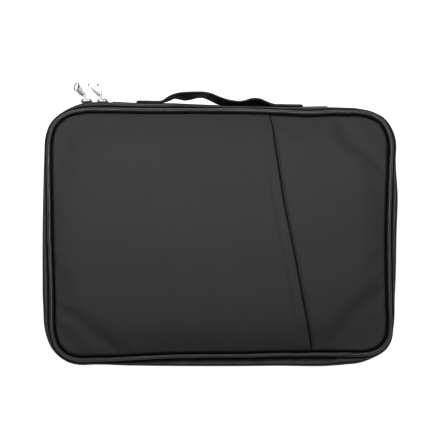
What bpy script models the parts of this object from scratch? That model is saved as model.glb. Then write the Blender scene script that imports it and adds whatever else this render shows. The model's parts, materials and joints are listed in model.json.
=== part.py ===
"""Zip-round portfolio case lying on its back, with a pocketed cover, two zip pulls and a carry handle.

X runs along the case, Y towards the handle edge and Z up through the thickness. The origin is the
middle of the back panel's resting face. Every value is in millimetres until it reaches Blender.
"""

import math

import bmesh
import bpy
from mathutils import Matrix, Vector

MM = 0.001
CLEARANCE = 0.3

# The loop that every edge follows is the centreline of the piping. Its top side falls to the right.
LOOP_HALF_X = 170.5
LOOP_BOTTOM = -123.5
LOOP_TOP_LEFT = 124.7
LOOP_TOP_RIGHT = 120.1
CORNER_RADIUS = 38.0
CORNER_STEPS = 8
TOP_FALL = math.atan((LOOP_TOP_LEFT - LOOP_TOP_RIGHT) / (2 * (LOOP_HALF_X - CORNER_RADIUS)))
TOP_MIDDLE = (LOOP_TOP_LEFT + LOOP_TOP_RIGHT) / 2
LEFT_CORNER = (CORNER_RADIUS - LOOP_HALF_X, LOOP_TOP_LEFT - CORNER_RADIUS, 0.0)

THICKNESS = 34.0
ZIP_Z = 24.0
PIPING_RADIUS = 2.2
PIPING_SIDES = 10
BACK_PIPING_Z = 2.6
FRONT_PIPING_Z = 31.2

PANEL_INSET = 2.8
PAD_INSET = 5.4
SKIN = 0.9

# The chain leaves the spine open between these two X values on the hinge edge.
CHAIN_END_X = 120.0
STOP_LENGTH = 3.2
SPINE_HALF_X = CHAIN_END_X - STOP_LENGTH - 2 * CLEARANCE
SPINE_REACH = 9.3
HINGE_Y = LOOP_BOTTOM - SPINE_REACH

GUSSET_REACH = 5.0
COIL_GAP = 1.2
COIL_HEIGHT = 1.8
COIL_INNER = 4.0
COIL_OUTER = 5.6
TAPE_INNER = 3.2
TAPE_OUTER = 3.7

# Pocket mouth: where its straight slanted edge meets the top and bottom of the cover panel.
MOUTH_TOP_X = 49.5
MOUTH_BOTTOM_X = 91.5

# Carry handle, on the back half of the top edge.
STRAP_LOW_Z = 5.5
STRAP_HIGH_Z = 19.5
STRAP_THICKNESS = 1.4
SEWN_THICKNESS = 2.2
BASE_STRIP_THICKNESS = 0.7
BASE_STRIP_HALF_X = 108.0
HANDLE_LEFT_END = (-84.0, -67.6)
HANDLE_RIGHT_END = (54.6, 83.0)

# Sliders: distances from the loop outwards, and sizes along the chain.
SLIDER_LENGTH = 11.0
SLIDER_HALF_WIDTH = 3.4
CROWN_FOOT = 6.8
CROWN_TOP = 9.6
CROWN_HALF_SPAN = 4.7
CROWN_WIRE = 0.75
RING_WIRE = 0.4
RING_HALF_WIDTH = 1.9
RING_NEAR = -2.15
RING_FAR = 3.4
TAB_THICKNESS = 1.0
TAB_LENGTH = 15.4
LEFT_SLIDER_X = -134.0
RIGHT_SLIDER_X = -118.0
RING_LEAN = 30.0
LEFT_TAB_LEAN = 41.0
RIGHT_TAB_LEAN = 30.0

FABRIC_BLACK = (0.045, 0.045, 0.047, 1.0)
PIPING_BLACK = (0.06, 0.06, 0.062, 1.0)
WEBBING_BLACK = (0.012, 0.012, 0.012, 1.0)
LINING_GREY = (0.10, 0.10, 0.105, 1.0)
FOAM_GREY = (0.22, 0.22, 0.22, 1.0)
SILVER = (0.78, 0.78, 0.78, 1.0)


def clear_scene():
    for obj in list(bpy.data.objects):
        bpy.data.objects.remove(obj)


def collection(name):
    made = bpy.data.collections.new(name)
    bpy.context.scene.collection.children.link(made)
    return made


def finish(name, color, roughness, metallic=0.0):
    made = bpy.data.materials.new(name)
    made.use_nodes = True
    shader = made.node_tree.nodes["Principled BSDF"]
    shader.inputs["Base Color"].default_value = color
    shader.inputs["Roughness"].default_value = roughness
    shader.inputs["Metallic"].default_value = metallic
    return made


def hide_helper(obj):
    obj.hide_render = True
    obj.display_type = "WIRE"
    cutters.objects.link(obj)


def add_part(obj, material, joint=None):
    """Puts the object in the case, hung on its joint's empty without moving it."""
    parts.objects.link(obj)
    obj.data.materials.append(material)
    if joint:
        obj.parent = joint
        obj.matrix_parent_inverse = joint.matrix_world.inverted()
    return obj


def add_joint(name, location, turn=0.0, parent=None):
    """An empty on a joint's axis; turn is its rotation about Z in degrees."""
    empty = bpy.data.objects.new(name, None)
    parts.objects.link(empty)
    empty.matrix_world = Matrix.Translation(Vector(location) * MM) @ Matrix.Rotation(
        math.radians(turn), 4, "Z"
    )
    bpy.context.view_layer.update()
    if parent:
        empty.parent = parent
        empty.matrix_parent_inverse = parent.matrix_world.inverted()
        bpy.context.view_layer.update()
    return empty


def arc(center, radius, first, last, steps):
    """Points on an arc, from the first angle to the last in degrees."""
    points = []
    for step in range(steps + 1):
        angle = math.radians(first + (last - first) * step / steps)
        points.append((center[0] + radius * math.cos(angle), center[1] + radius * math.sin(angle)))
    return points


def rounded_outline(inset=0.0):
    """The loop drawn in by inset, anticlockwise from the right side's lower corner."""
    x = LOOP_HALF_X - CORNER_RADIUS
    low = LOOP_BOTTOM + CORNER_RADIUS
    top = 90 - math.degrees(TOP_FALL)
    corners = (
        (x, low, -90, 0),
        (x, LOOP_TOP_RIGHT - CORNER_RADIUS, 0, top),
        (-x, LOOP_TOP_LEFT - CORNER_RADIUS, top, 180),
        (-x, low, 180, 270),
    )
    points = []
    for cx, cy, first, last in corners:
        points += arc((cx, cy), CORNER_RADIUS - inset, first, last, CORNER_STEPS)
    return points


def top_line(x):
    """Y of the loop's falling top side."""
    return TOP_MIDDLE - x * math.tan(TOP_FALL)


def top_frame(x=0.0):
    """A place on the top side, its X along the side and its Y outwards."""
    place = Matrix.Translation(Vector((x, top_line(x), 0.0)) * MM)
    return place @ Matrix.Rotation(-TOP_FALL, 4, "Z")


def chain_path():
    """The loop without the spine: up the right side, over the top and down the left side."""
    return [(CHAIN_END_X, LOOP_BOTTOM)] + rounded_outline() + [(-CHAIN_END_X, LOOP_BOTTOM)]


def spine_path():
    return [(-SPINE_HALF_X, LOOP_BOTTOM), (SPINE_HALF_X, LOOP_BOTTOM)]


def pocket_outline():
    """The left part of the cover panel, cut off by the pocket's slanted edge."""
    half = len(rounded_outline()) // 2
    left = rounded_outline(PANEL_INSET)[half:]
    foot = (MOUTH_BOTTOM_X, LOOP_BOTTOM + PANEL_INSET)
    return left + [foot, (MOUTH_TOP_X, top_line(MOUTH_TOP_X) - PANEL_INSET)]


def poly_curve(name, points, cyclic):
    data = bpy.data.curves.new(name, "CURVE")
    data.dimensions = "2D"
    data.fill_mode = "NONE"
    spline = data.splines.new("POLY")
    spline.points.add(len(points) - 1)
    for slot, (x, y) in zip(spline.points, points):
        slot.co = (x * MM, y * MM, 0.0, 1.0)
    spline.use_cyclic_u = cyclic
    return data


def plate(name, outline, low, high, material, joint=None):
    """A flat sheet between two heights."""
    data = poly_curve(name, outline, True)
    data.fill_mode = "BOTH"
    data.extrude = (high - low) / 2 * MM
    obj = bpy.data.objects.new(name, data)
    obj.location = (0.0, 0.0, (high + low) / 2 * MM)
    return add_part(obj, material, joint)


def sweep(name, path, cyclic, section, material, joint=None):
    """Carries a closed section of (distance outwards, height) points along an anticlockwise path."""
    outline = poly_curve(name + "_section", section[::-1], True)
    profile = bpy.data.objects.new(name + "_section", outline)
    hide_helper(profile)
    data = poly_curve(name, path, cyclic)
    data.dimensions = "3D"
    data.twist_mode = "Z_UP"
    data.bevel_mode = "OBJECT"
    data.bevel_object = profile
    data.use_fill_caps = not cyclic
    return add_part(bpy.data.objects.new(name, data), material, joint)


def band(inner, outer, low, high):
    """A rectangular section between two distances from the loop and two heights."""
    return [(inner, low), (outer, low), (outer, high), (inner, high)]


def skin_section(points):
    """A section of fabric thickness on the left of the line through the points."""
    offset = []
    for index, here in enumerate(points):
        before = Vector(points[max(index - 1, 0)])
        after = Vector(points[min(index + 1, len(points) - 1)])
        along = (after - before).normalized()
        offset.append((here[0] - along.y * SKIN, here[1] + along.x * SKIN))
    return points + offset[::-1]


def round_section(height):
    return arc((0.0, height), PIPING_RADIUS, 0, 360 - 360 / PIPING_SIDES, PIPING_SIDES - 1)


def box(name, low, high, material, joint=None):
    """A box between two corners."""
    size = [(b - a) * MM for a, b in zip(low, high)]
    middle = [(a + b) / 2 * MM for a, b in zip(low, high)]
    bpy.ops.mesh.primitive_cube_add(size=1.0)
    obj = bpy.context.object
    obj.name = name
    obj.data.transform(Matrix.Diagonal((*size, 1.0)))
    obj.location = middle
    for owner in list(obj.users_collection):
        owner.objects.unlink(obj)
    return add_part(obj, material, joint) if material else obj


def build_back():
    """The half that lies on the table: panel, padding, lining, edge piping and gusset."""
    plate("back_outer_panel", rounded_outline(PANEL_INSET), 0.0, 1.2, fabric)
    plate("back_foam_pad", rounded_outline(PAD_INSET), 1.5, 6.5, foam)
    plate("back_lining", rounded_outline(PAD_INSET), 6.8, 7.6, lining)
    sweep("back_seam_binding", rounded_outline(), True, band(-4.9, -3.1, 1.6, 7.0), webbing)
    sweep("back_piping", rounded_outline(), True, round_section(BACK_PIPING_Z), piping)
    wall = [(-0.3, 5.3), (2.8, 7.2), (4.6, 10.5), (GUSSET_REACH, 15.0), (GUSSET_REACH, 21.3)]
    sweep("back_gusset", chain_path(), False, skin_section(wall), fabric)
    spine = [(-0.3, 5.3), (4.0, 7.0), (7.6, 11.0), (SPINE_REACH, 17.0), (SPINE_REACH, 23.6)]
    sweep("back_spine_gusset", spine_path(), False, skin_section(spine), fabric)


def build_cover():
    """The half that opens: lining, padding, panel with its slanted pocket, piping and gusset."""
    sheet = rounded_outline(PANEL_INSET)
    plate("front_lining", rounded_outline(PAD_INSET), 26.4, 27.2, lining, cover)
    plate("front_foam_pad", rounded_outline(PAD_INSET), 27.5, 31.9, foam, cover)
    plate("front_panel", sheet, 32.2, 32.9, fabric, cover)
    plate("pocket_panel", pocket_outline(), 33.2, THICKNESS, fabric, cover)
    edge = band(-4.9, -3.1, 26.6, 31.9)
    sweep("front_seam_binding", rounded_outline(), True, edge, webbing, cover)
    sweep("front_piping", rounded_outline(), True, round_section(FRONT_PIPING_Z), piping, cover)
    shelf = [(GUSSET_REACH, 26.7), (4.8, 27.7), (3.2, 28.3), (0.4, 28.5)]
    sweep("front_gusset", chain_path(), False, skin_section(shelf), fabric, cover)
    spine = [(SPINE_REACH, 24.4), (8.5, 26.3), (6.4, 27.9), (3.0, 28.5), (0.4, 28.5)]
    sweep("front_spine_gusset", spine_path(), False, skin_section(spine), fabric, cover)


def build_zip_chain():
    """Two rows of coil on their tapes. The gap between the rows lets the sliders' posts through."""
    low = ZIP_Z - COIL_GAP / 2
    high = ZIP_Z + COIL_GAP / 2
    path = chain_path()
    back_coil = band(COIL_INNER, COIL_OUTER, low - COIL_HEIGHT, low)
    front_coil = band(COIL_INNER, COIL_OUTER, high, high + COIL_HEIGHT)
    sweep("back_zip_tape", path, False, band(TAPE_INNER, TAPE_OUTER, 15.0, low), webbing)
    sweep("back_zip_coil", path, False, back_coil, webbing)
    sweep("front_zip_tape", path, False, band(TAPE_INNER, TAPE_OUTER, high, 26.4), webbing, cover)
    sweep("front_zip_coil", path, False, front_coil, webbing, cover)
    for side, name in ((-1, "zip_end_stop_left"), (1, "zip_end_stop_right")):
        ends = sorted((side * (CHAIN_END_X - CLEARANCE), side * (CHAIN_END_X - STOP_LENGTH)))
        low_corner = (ends[0], LOOP_BOTTOM - COIL_OUTER, low - COIL_HEIGHT)
        high_corner = (ends[1], LOOP_BOTTOM - TAPE_INNER, low)
        box(name, low_corner, high_corner, metal)


def build_handle():
    """A flat strap sewn down at both ends, standing off the top side in a loose wave between them."""
    base = GUSSET_REACH + CLEARANCE
    sewn = base + BASE_STRIP_THICKNESS + CLEARANCE
    low = (-BASE_STRIP_HALF_X, base, STRAP_LOW_Z)
    high = (BASE_STRIP_HALF_X, base + BASE_STRIP_THICKNESS, STRAP_HIGH_Z)
    pieces = [box("handle_base_strip", low, high, webbing)]
    for name, (start, end) in (("left", HANDLE_LEFT_END), ("right", HANDLE_RIGHT_END)):
        corner = (end, sewn + SEWN_THICKNESS, STRAP_HIGH_Z)
        pieces.append(box("handle_end_" + name, (start, sewn, STRAP_LOW_Z), corner, webbing))
    for piece in pieces:
        piece.matrix_world = top_frame() @ piece.matrix_basis
    build_handle_loop()


def build_handle_loop():
    """The free part of the strap: along the top side, how far out it is, and how far its front edge leans."""
    wave = (
        (-67.2, 7.4, 0.0),
        (-59.0, 8.0, 0.2),
        (-49.0, 12.4, 1.2),
        (-39.0, 14.9, 2.3),
        (-27.0, 15.5, 2.4),
        (-15.0, 15.2, 2.5),
        (-7.0, 12.9, 2.4),
        (1.0, 10.1, 1.8),
        (10.0, 8.3, 0.7),
        (20.0, 7.8, 0.3),
        (27.0, 9.2, 1.0),
        (34.0, 10.5, 1.6),
        (41.0, 10.0, 1.1),
        (48.0, 8.1, 0.2),
        (54.2, 7.4, 0.0),
    )
    half_width = (STRAP_HIGH_Z - STRAP_LOW_Z) / 2
    data = bpy.data.curves.new("handle_loop", "CURVE")
    data.dimensions = "3D"
    data.twist_mode = "Z_UP"
    data.resolution_u = 3
    data.extrude = half_width * MM
    spline = data.splines.new("BEZIER")
    spline.bezier_points.add(len(wave) - 1)
    for point, (x, y, lean) in zip(spline.bezier_points, wave):
        point.co = (x * MM, y * MM, 0.0)
        point.handle_left_type = "AUTO"
        point.handle_right_type = "AUTO"
        point.tilt = math.asin(lean / half_width)
    obj = bpy.data.objects.new("handle_loop", data)
    middle_z = (STRAP_LOW_Z + STRAP_HIGH_Z) / 2
    obj.matrix_world = top_frame() @ Matrix.Translation((0.0, 0.0, middle_z * MM))
    solid = obj.modifiers.new("thickness", "SOLIDIFY")
    solid.thickness = STRAP_THICKNESS * MM
    solid.offset = 0.0
    solid.use_even_offset = True
    lift = add_joint("handle_lift", (0.0, TOP_MIDDLE, middle_z), -math.degrees(TOP_FALL))
    add_part(obj, webbing, lift)


def wire(name, points, radius, cyclic):
    """A round wire through points in its own space, as a mesh with closed ends."""
    data = bpy.data.curves.new(name, "CURVE")
    data.dimensions = "3D"
    data.bevel_depth = radius * MM
    data.bevel_resolution = 1
    data.use_fill_caps = not cyclic
    spline = data.splines.new("POLY")
    spline.points.add(len(points) - 1)
    for slot, point in zip(spline.points, points):
        slot.co = (*(Vector(point) * MM), 1.0)
    spline.use_cyclic_u = cyclic
    curve = bpy.data.objects.new(name, data)
    parts.objects.link(curve)
    bpy.context.view_layer.update()
    graph = bpy.context.evaluated_depsgraph_get()
    mesh = bpy.data.meshes.new_from_object(curve.evaluated_get(graph))
    weld_ends(mesh)
    bpy.data.objects.remove(curve)
    return bpy.data.objects.new(name, mesh)


def weld_ends(mesh):
    """A curve's end caps are loose until they are welded to its sides."""
    work = bmesh.new()
    work.from_mesh(mesh)
    bmesh.ops.remove_doubles(work, verts=work.verts, dist=1e-6)
    bmesh.ops.recalc_face_normals(work, faces=work.faces)
    work.to_mesh(mesh)
    work.free()


def unite(obj, others):
    for other in others:
        hide_helper(other)
        join = obj.modifiers.new("join_" + other.name, "BOOLEAN")
        join.operation = "UNION"
        join.object = other


def build_slider(side, frame):
    """The cast slider: two plates joined by a post between the coils, a back lip and the crown."""
    half = SLIDER_LENGTH / 2
    lip = SLIDER_HALF_WIDTH
    outer = box(side + "_slider_body", (-half, 6.0, -lip), (half, 7.1, lip), None)
    inner = box(side + "_inner_plate", (-half + 1, 1.2, -2.8), (half - 1, 2.2, 2.8), None)
    post = box(side + "_post", (1.0, 2.0, -0.3), (3.6, 6.4, 0.3), None)
    back_lip = box(side + "_back_lip", (-half + 1, 5.4, -lip), (half - 1, 6.2, -lip + 0.6), None)
    arch = [
        (CROWN_HALF_SPAN * x, CROWN_FOOT + (CROWN_TOP - CROWN_FOOT) * y, 0.0)
        for x, y in arc((0.0, 0.0), 1.0, 180, 0, 12)
    ]
    crown = wire(side + "_crown", arch, CROWN_WIRE, False)
    for piece in (outer, inner, post, back_lip, crown):
        piece.matrix_world = frame @ piece.matrix_basis
    unite(outer, (inner, post, back_lip, crown))
    return outer


def ring_outline():
    """A small oval in the plane of the ring's lean and Z."""
    middle = (RING_FAR + RING_NEAR) / 2
    reach = (RING_FAR - RING_NEAR) / 2
    return [
        (0.0, middle + reach * u, RING_HALF_WIDTH * w)
        for u, w in arc((0.0, 0.0), 1.0, 0, 360 - 360 / 16, 15)
    ]


def tab_outline():
    """The pull tab's outline from its eye at the origin to its rounded tip, widening on the way."""
    eye = arc((0.0, 0.0), 1.75, 200, 340, 6)
    tip = arc((0.0, TAB_LENGTH - 4.1), 4.1, 0, 180, 10)
    return eye + [(3.0, 3.4)] + tip + [(-3.0, 3.4)]


def build_pull_tab(name):
    """A flat tab with a small eye for the ring and a large oval window near its tip."""
    holes = (arc((0.0, 0.0), 0.78, 0, 330, 11), window_outline())
    data = poly_curve(name, tab_outline(), True)
    data.fill_mode = "BOTH"
    data.extrude = TAB_THICKNESS / 2 * MM
    for points in holes:
        spline = data.splines.new("POLY")
        spline.points.add(len(points) - 1)
        for slot, (x, y) in zip(spline.points, points):
            slot.co = (x * MM, y * MM, 0.0, 1.0)
        spline.use_cyclic_u = True
    return bpy.data.objects.new(name, data)


def window_outline():
    middle = TAB_LENGTH - 4.2
    return [(2.9 * x, middle + 2.3 * y) for x, y in arc((0.0, 0.0), 1.0, 0, 342, 19)]


def chain_frame(x):
    """The slider's place on the chain at this X: on the top side, or round the left corner past its start."""
    raised = Matrix.Translation((0.0, 0.0, ZIP_Z * MM))
    if x >= LEFT_CORNER[0]:
        return raised @ top_frame(x), -math.degrees(TOP_FALL)
    turn = math.asin((LEFT_CORNER[0] - x) / (CORNER_RADIUS + CROWN_TOP))
    place = Matrix.Rotation(turn, 4, "Z") @ Matrix.Translation((0.0, CORNER_RADIUS * MM, 0.0))
    return raised @ Matrix.Translation(Vector(LEFT_CORNER) * MM) @ place, math.degrees(turn)


def build_pull(side, x, tab_lean, travel):
    """One slider with its link ring and pull tab, each on its own joint."""
    frame, turn = chain_frame(x)
    add_part(build_slider(side, frame), metal, travel)
    bar = frame @ (Vector((0.0, CROWN_TOP, 0.0)) * MM)
    flap = add_joint(side + "_ring_flap", bar / MM, turn, travel)
    ring = wire(side + "_link_ring", ring_outline(), RING_WIRE, True)
    leaning = Matrix.Translation(bar) @ Matrix.Rotation(math.radians(turn + RING_LEAN), 4, "Z")
    ring.matrix_world = leaning
    add_part(ring, metal, flap)
    eye = leaning @ (Vector((0.0, RING_FAR, 0.0)) * MM)
    swing = add_joint(side + "_tab_swing", eye / MM, tab_lean, flap)
    tab = build_pull_tab(side + "_pull_tab")
    tab.matrix_world = swing.matrix_world.copy()
    add_part(tab, metal, swing)


clear_scene()
parts = collection("portfolio_case")
cutters = collection("sections_and_cutters")
cutters.hide_render = True
fabric = finish("coated_fabric", FABRIC_BLACK, 0.6)
piping = finish("piping_vinyl", PIPING_BLACK, 0.45)
webbing = finish("webbing", WEBBING_BLACK, 0.8)
lining = finish("lining", LINING_GREY, 0.9)
foam = finish("foam", FOAM_GREY, 1.0)
metal = finish("polished_metal", SILVER, 0.2, 1.0)

cover = add_joint("cover_hinge", (0.0, HINGE_Y, ZIP_Z))
left_travel = add_joint("left_slider_travel", (*LEFT_CORNER[:2], ZIP_Z))
right_travel = add_joint("right_slider_travel", (RIGHT_SLIDER_X, top_line(RIGHT_SLIDER_X), ZIP_Z))

build_back()
build_cover()
build_zip_chain()
build_handle()
build_pull("left", LEFT_SLIDER_X, LEFT_TAB_LEAN, left_travel)
build_pull("right", RIGHT_SLIDER_X, RIGHT_TAB_LEAN, right_travel)
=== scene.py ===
"""The looks of the zip-round portfolio case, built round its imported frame.

Lengths are in millimetres in the frame's own axes until they reach Blender. Every edge of the case
follows one closed loop, the piping's centreline. A place on it is u, the length walked anticlockwise
from the middle of the bottom edge, and d is a distance outwards from it.
"""

import json
import math

import bmesh
import bpy
import numpy as np
from mathutils import Matrix, Vector, geometry, noise
from mathutils.bvhtree import BVHTree


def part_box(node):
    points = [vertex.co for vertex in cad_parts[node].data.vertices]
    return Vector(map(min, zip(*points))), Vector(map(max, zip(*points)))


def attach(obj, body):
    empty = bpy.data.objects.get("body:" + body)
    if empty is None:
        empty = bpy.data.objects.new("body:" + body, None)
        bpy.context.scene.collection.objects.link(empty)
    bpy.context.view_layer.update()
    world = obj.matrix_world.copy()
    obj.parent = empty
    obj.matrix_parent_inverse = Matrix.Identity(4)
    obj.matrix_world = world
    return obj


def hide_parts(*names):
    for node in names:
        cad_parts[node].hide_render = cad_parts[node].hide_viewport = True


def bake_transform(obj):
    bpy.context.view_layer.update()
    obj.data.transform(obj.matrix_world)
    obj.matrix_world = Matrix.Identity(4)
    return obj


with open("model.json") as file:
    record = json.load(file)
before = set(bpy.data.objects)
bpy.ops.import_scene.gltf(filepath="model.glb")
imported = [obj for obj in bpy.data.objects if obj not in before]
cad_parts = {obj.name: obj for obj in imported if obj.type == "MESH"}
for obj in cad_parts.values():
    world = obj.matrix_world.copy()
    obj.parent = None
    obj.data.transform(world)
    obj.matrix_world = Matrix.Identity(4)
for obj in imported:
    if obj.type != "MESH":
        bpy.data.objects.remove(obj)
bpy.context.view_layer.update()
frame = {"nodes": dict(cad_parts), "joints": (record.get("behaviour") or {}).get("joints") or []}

MM = 0.001
# The radius of the piping that sets the loop in the CAD, and of the slimmer cord that shows.
PIPING_RADIUS = 2.2
CORD_RADIUS = 2.0


def box_mm(node):
    return [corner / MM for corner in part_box(node)]


def joint(name):
    return next(entry for entry in frame["joints"] if entry["name"] == name)


def placed(name, data):
    """A mesh, curve, light or camera as an object in the scene."""
    obj = bpy.data.objects.new(name, data)
    bpy.context.scene.collection.objects.link(obj)
    return obj


def drift(x, y, z):
    """Smooth noise between about -1 and 1."""
    return noise.noise(Vector((x, y, z)))


# ---- the loop

CORNER = Vector(joint("left_slider_travel")["pos_m"]) / MM
TOP_AXIS = Vector(joint("right_slider_travel")["axis"])
TOP_FALL = -math.atan2(TOP_AXIS.y, TOP_AXIS.x)
PIPING_LOW, PIPING_HIGH = box_mm("front_piping")
CORNER_RADIUS = PIPING_HIGH.x - PIPING_RADIUS + CORNER.x
LOOP_BOTTOM = PIPING_LOW.y + PIPING_RADIUS


LOOP_STEP = 0.75


def loop_samples():
    """Points on the loop with their outward normals, anticlockwise from the middle of the bottom."""
    x = -CORNER.x
    low = LOOP_BOTTOM + CORNER_RADIUS
    high = CORNER.y - 2 * x * math.tan(TOP_FALL)
    top = math.pi / 2 - TOP_FALL
    centers = (
        ((0.0, low), -math.pi / 2, -math.pi / 2),
        ((x, low), -math.pi / 2, 0.0),
        ((x, high), 0.0, top),
        ((-x, CORNER.y), top, math.pi),
        ((-x, low), math.pi, 1.5 * math.pi),
        ((0.0, low), 1.5 * math.pi, 1.5 * math.pi),
    )
    samples = []
    for (cx, cy), first, last in centers:
        turns = max(int(CORNER_RADIUS * (last - first) / LOOP_STEP), 1)
        for turn in range(turns + 1):
            angle = first + (last - first) * turn / turns
            normal = Vector((math.cos(angle), math.sin(angle)))
            point = Vector((cx, cy)) + normal * CORNER_RADIUS
            if samples:
                gap = (point - samples[-1][0]).length
                if gap < 1e-6:
                    continue
                steps = max(int(gap / LOOP_STEP), 1)
                start, before = samples[-1]
                for part in range(1, steps):
                    samples.append((start.lerp(point, part / steps), before))
            samples.append((point, normal))
    return samples


SAMPLES = loop_samples()
POINTS = np.array([tuple(point) for point, _ in SAMPLES])
NORMALS = np.array([tuple(normal) for _, normal in SAMPLES])
WALKED = np.concatenate([[0.0], np.cumsum(np.linalg.norm(np.diff(POINTS, axis=0), axis=1))])
LENGTH = float(WALKED[-1])


def loop_at(u, d):
    """The point d outwards from the loop at u, as X and Y."""
    u %= LENGTH
    spot = [np.interp(u, WALKED, POINTS[:, k]) + d * np.interp(u, WALKED, NORMALS[:, k]) for k in (0, 1)]
    return float(spot[0]), float(spot[1])


def nearest_u(x, y):
    return float(WALKED[np.argmin(np.hypot(POINTS[:, 0] - x, POINTS[:, 1] - y))])


def knot_curve(xs, values):
    """A smooth line through values at xs, level beyond its ends."""
    slopes = np.gradient(values, xs)

    def at(x):
        k = int(np.clip(np.searchsorted(xs, x) - 1, 0, len(xs) - 2))
        span = xs[k + 1] - xs[k]
        t = min(max((x - xs[k]) / span, 0.0), 1.0)
        return float(
            values[k] * (1 + 2 * t) * (1 - t) ** 2
            + slopes[k] * span * t * (1 - t) ** 2
            + values[k + 1] * t * t * (3 - 2 * t)
            + slopes[k + 1] * span * t * t * (t - 1)
        )

    return at


def through(knots):
    """A smooth line through (position, value) knots."""
    return knot_curve(*np.array(knots, float).T)


def around(knots):
    """A smooth value all round the loop through (x, y, value) knots placed near it."""
    us, values = np.array(sorted((nearest_u(x, y), value) for x, y, value in knots)).T
    us = np.concatenate([us[-2:] - LENGTH, us, us[:2] + LENGTH])
    values = np.concatenate([values[-2:], values, values[:2]])
    curve = knot_curve(us, values)
    sampled = np.array([curve(u) for u in WALKED])
    return lambda u: float(np.interp(u % LENGTH, WALKED, sampled))


# How far the sewn cover edge strays outwards from the true loop, from knots at places on the case.
cover_edge = around((
    (0, -123, -0.25), (30, -123, -0.5), (55, -123, -1.2), (90, -123, -1.5), (112, -123, -1.6),
    (130, -123, -1.4), (142, -122, -0.2), (151, -118, 2.3), (159, -112, 4.1), (165, -104, 3.35),
    (169, -95, 0.8), (170, -80, -0.35), (170, -50, -1.0), (170, -20, -1.45), (170, 10, -1.5),
    (170, 40, -0.5), (170, 70, 0.55), (169, 92, 1.75), (165, 101, 2.85), (159, 109, 3.5),
    (151, 115, 2.35), (142, 119, 0.95), (130, 120, 0.4), (110, 120, 0.0), (90, 120, -1.2),
    (70, 121, -0.75), (50, 121, -0.2), (25, 121, 0.1), (10, 122, 0.1), (-10, 122, -0.1),
    (-30, 123, -0.45), (-50, 123, -0.85), (-80, 124, -1.4), (-110, 124, -1.3), (-132, 125, -1.65),
    (-142, 123, -1.9), (-151, 120, -0.6), (-159, 114, 0.8), (-165, 106, 1.55), (-169, 96, 0.85),
    (-170, 70, 1.0), (-170, 40, 0.45), (-170, 10, -0.05), (-170, -20, -0.5), (-170, -50, -1.55),
    (-170, -80, -1.95), (-169, -95, -1.2), (-165, -104, 1.1), (-159, -112, 4.3), (-151, -118, 5.6),
    (-142, -122, 4.8), (-130, -123, 3.7), (-110, -123, 3.3), (-90, -123, 2.45), (-60, -123, 0.85),
    (-30, -123, 0.0),
))
# How far the side wall's belly reaches outwards from the true loop.
belly = around((
    (0, -123, 10.6), (60, -123, 10.2), (110, -123, 10.2), (130, -123, 8.4), (150, -119, 7.2),
    (161, -111, 8.4), (166, -104, 7.2), (169, -98, 5.2), (170, -78, 4.5), (170, -40, 5.8), (170, 0, 6.5),
    (170, 35, 7.6), (170, 75, 5.7), (168, 98, 7.3), (160, 111, 7.6), (147, 118, 4.8), (130, 120, 4.8),
    (110, 120, 5.1), (90, 120, 4.5), (70, 121, 3.9), (50, 121, 4.2), (30, 121, 4.2), (10, 122, 4.1),
    (-10, 122, 4.4), (-30, 123, 4.9), (-50, 123, 5.4), (-70, 124, 5.0), (-90, 124, 5.3),
    (-110, 124, 6.1), (-130, 124, 5.9), (-145, 122, 4.2), (-155, 117, 4.3), (-164, 109, 5.6),
    (-170, 92, 5.3), (-170, 60, 6.2), (-170, 0, 7.3), (-170, -60, 7.3), (-168, -98, 6.9),
    (-160, -112, 9.8), (-147, -120, 10.6), (-130, -123, 9.1), (-90, -123, 9.9),
))


def chain_line(u):
    """The zip coil's middle, which lies just inside the belly."""
    return belly(u) - 1.75


def back_edge(u):
    """The back half strays less than the cover does."""
    return 0.35 * cover_edge(u)


# ---- mesh helpers


def new_object(name, vertices, faces, material, uvs=None):
    """A smooth-shaded object from points in millimetres."""
    mesh = bpy.data.meshes.new(name)
    mesh.from_pydata([(x * MM, y * MM, z * MM) for x, y, z in vertices], [], faces)
    if uvs:
        layer = mesh.uv_layers.new(name="UVMap")
        for face in mesh.polygons:
            for corner in face.loop_indices:
                layer.data[corner].uv = uvs[mesh.loops[corner].vertex_index]
    mesh.validate()
    mesh.shade_smooth()
    mesh.materials.append(material)
    return placed(name, mesh)


def lengths_along(points):
    """The length walked to each point of a line."""
    walked = [0.0]
    for a, b in zip(points, points[1:]):
        walked.append(walked[-1] + (Vector(b) - Vector(a)).length)
    return walked


def recalc(obj):
    work = bmesh.new()
    work.from_mesh(obj.data)
    bmesh.ops.recalc_face_normals(work, faces=work.faces)
    work.to_mesh(obj.data)
    work.free()
    return obj


def loft(name, rings, material, closed, lengths=None):
    """Joins rings of (x, y, z) points, with flat caps unless the last ring closes on the first."""
    count = len(rings[0])
    vertices = [point for ring in rings for point in ring]
    across = lengths_along(rings[0])
    uvs = [(u * MM, v * MM) for u in lengths or range(len(rings)) for v in across]
    faces = []
    for r in range(len(rings) if closed else len(rings) - 1):
        follow = (r + 1) % len(rings)
        for c in range(count):
            d = (c + 1) % count
            faces.append((r * count + c, r * count + d, follow * count + d, follow * count + c))
    if not closed:
        last = (len(rings) - 1) * count
        faces.append(tuple(range(count))[::-1])
        faces.append(tuple(range(last, last + count)))
    obj = recalc(new_object(name, vertices, faces, material, uvs))
    obj.data.set_sharp_from_angle(angle=math.radians(60))
    return obj


def paint_foot_shade(strip, wall):
    """Paints shade on the foot of a swept wall, where it runs down behind the piping, with near-black
    material.
    """
    strip.data.materials.append(PAINTED_SEAM_SHADE)
    count = 2 * len(wall(WALL_FIRST)) + 2
    for face in strip.data.polygons:
        if all(vertex % count < 4 for vertex in face.vertices):
            face.material_index = 1


def sweep(name, first, last, step, section, material):
    """Carries section(u), a closed list of (d, z), along the loop. A full turn closes on itself."""
    closed = last - first >= LENGTH - 1e-6
    count = max(int(round((last - first) / step)), 2)
    us = [first + (last - first) * k / count for k in range(count if closed else count + 1)]
    rings = [[(*loop_at(u, d), z) for d, z in section(u)] for u in us]
    return loft(name, rings, material, closed, us)


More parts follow.
